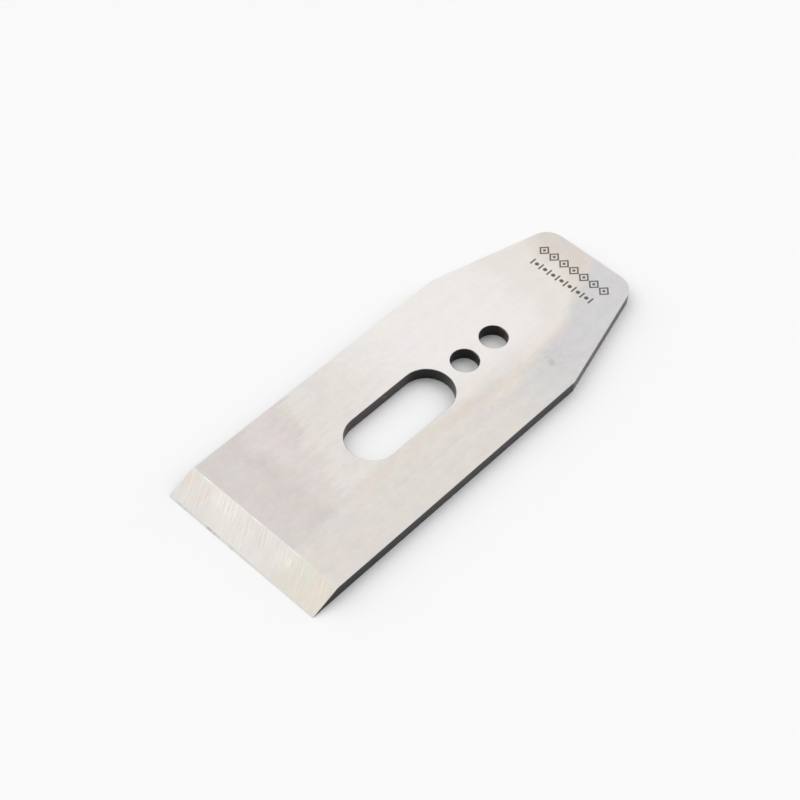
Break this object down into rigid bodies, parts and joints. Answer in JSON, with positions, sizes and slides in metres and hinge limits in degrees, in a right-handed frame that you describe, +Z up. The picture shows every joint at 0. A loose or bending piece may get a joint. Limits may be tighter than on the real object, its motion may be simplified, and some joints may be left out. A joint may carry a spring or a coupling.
{
  "type": "plane iron",
  "caption": "Flat steel plane iron, lying on its back: bevelled cutting edge, obround clamp slot, two round adjuster holes in line and a tapered tail with rounded corners.",
  "frame": {"origin": "middle of the flat back, in length and in width, so the iron lies on the plane Z = 0", "axes": "+X across the iron, +Y along it from the cutting edge to the tail, +Z up out of the flat back"},
  "size_m": [0.0412, 0.11, 0.0032],
  "materials": {
    "ground_steel": "ground flat on both faces, satin with faint lengthwise grinding lines; coarser slanting grinding lines on the bevel; sides, slot and holes left with the dark grey skin of hardening"
  },
  "bodies": {
    "root": {"plane_iron": "ground_steel"}
  },
  "joints": []
}
